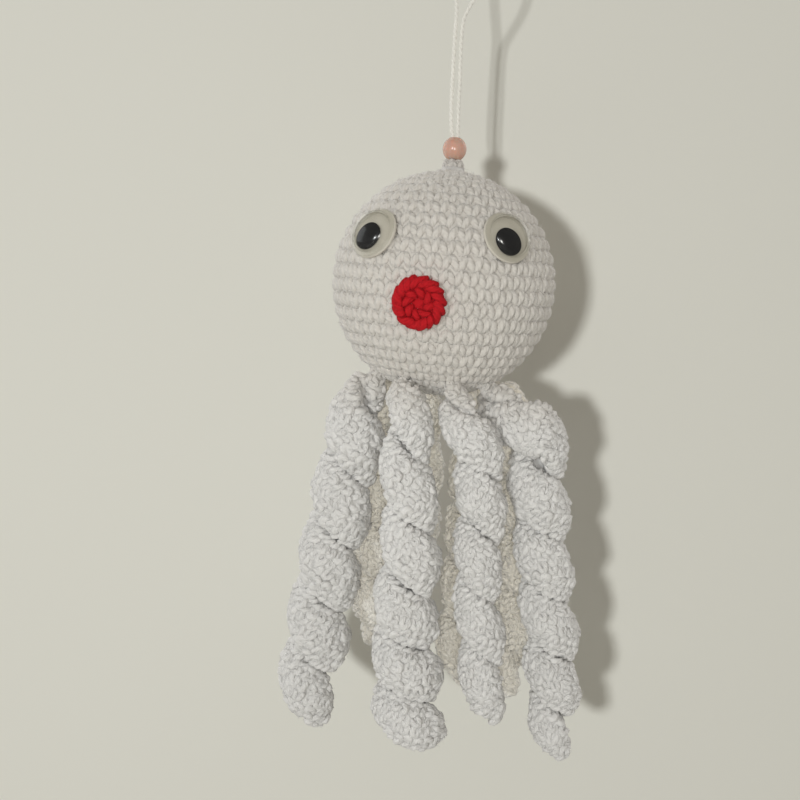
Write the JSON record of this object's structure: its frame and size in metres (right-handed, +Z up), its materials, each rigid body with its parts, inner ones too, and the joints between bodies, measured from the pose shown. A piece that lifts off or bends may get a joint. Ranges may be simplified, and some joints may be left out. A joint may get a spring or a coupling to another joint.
{
  "type": "crochet octopus hanging decoration",
  "caption": "Stuffed crochet octopus with a round head, loose-pupil eyes, a red nose and corkscrew tentacles, hung from a doubled cord with a bead.",
  "frame": {"origin": "the hang point, on the underside of the cord at the top of its loop", "axes": "+Z up along the cord and the head's axis, the face looks along -Y, +X to the viewer's right"},
  "size_m": [0.0803, 0.0595, 0.204],
  "materials": {
    "white_yarn": "crocheted white acrylic yarn, matt and slightly fuzzy",
    "red_yarn": "crocheted red acrylic yarn, matt",
    "stuffing_fibre": "loose white polyester fibre",
    "cord_cotton": "twisted white cotton cord, matt",
    "bead_pink": "polished salmon-pink, slightly milky",
    "clear_dome": "clear, thin and glossy",
    "eye_backing": "pale translucent film",
    "pupil_black": "black, smooth"
  },
  "bodies": {
    "root": {"head_cover": "white_yarn", "stuffing": "stuffing_fibre", "tentacle_1": "white_yarn", "tentacle_2": "white_yarn", "tentacle_3": "white_yarn", "tentacle_4": "white_yarn", "tentacle_5": "white_yarn", "tentacle_6": "white_yarn", "tentacle_7": "white_yarn", "tentacle_8": "white_yarn", "nose": "red_yarn", "eye_backing_left": "eye_backing", "eye_backing_right": "eye_backing", "pupil_left": "pupil_black", "pupil_right": "pupil_black", "eye_dome_left": "clear_dome", "eye_dome_right": "clear_dome", "bead": "bead_pink", "hanging_cord": "cord_cotton", "cord_knot": "cord_cotton"}
  },
  "joints": []
}
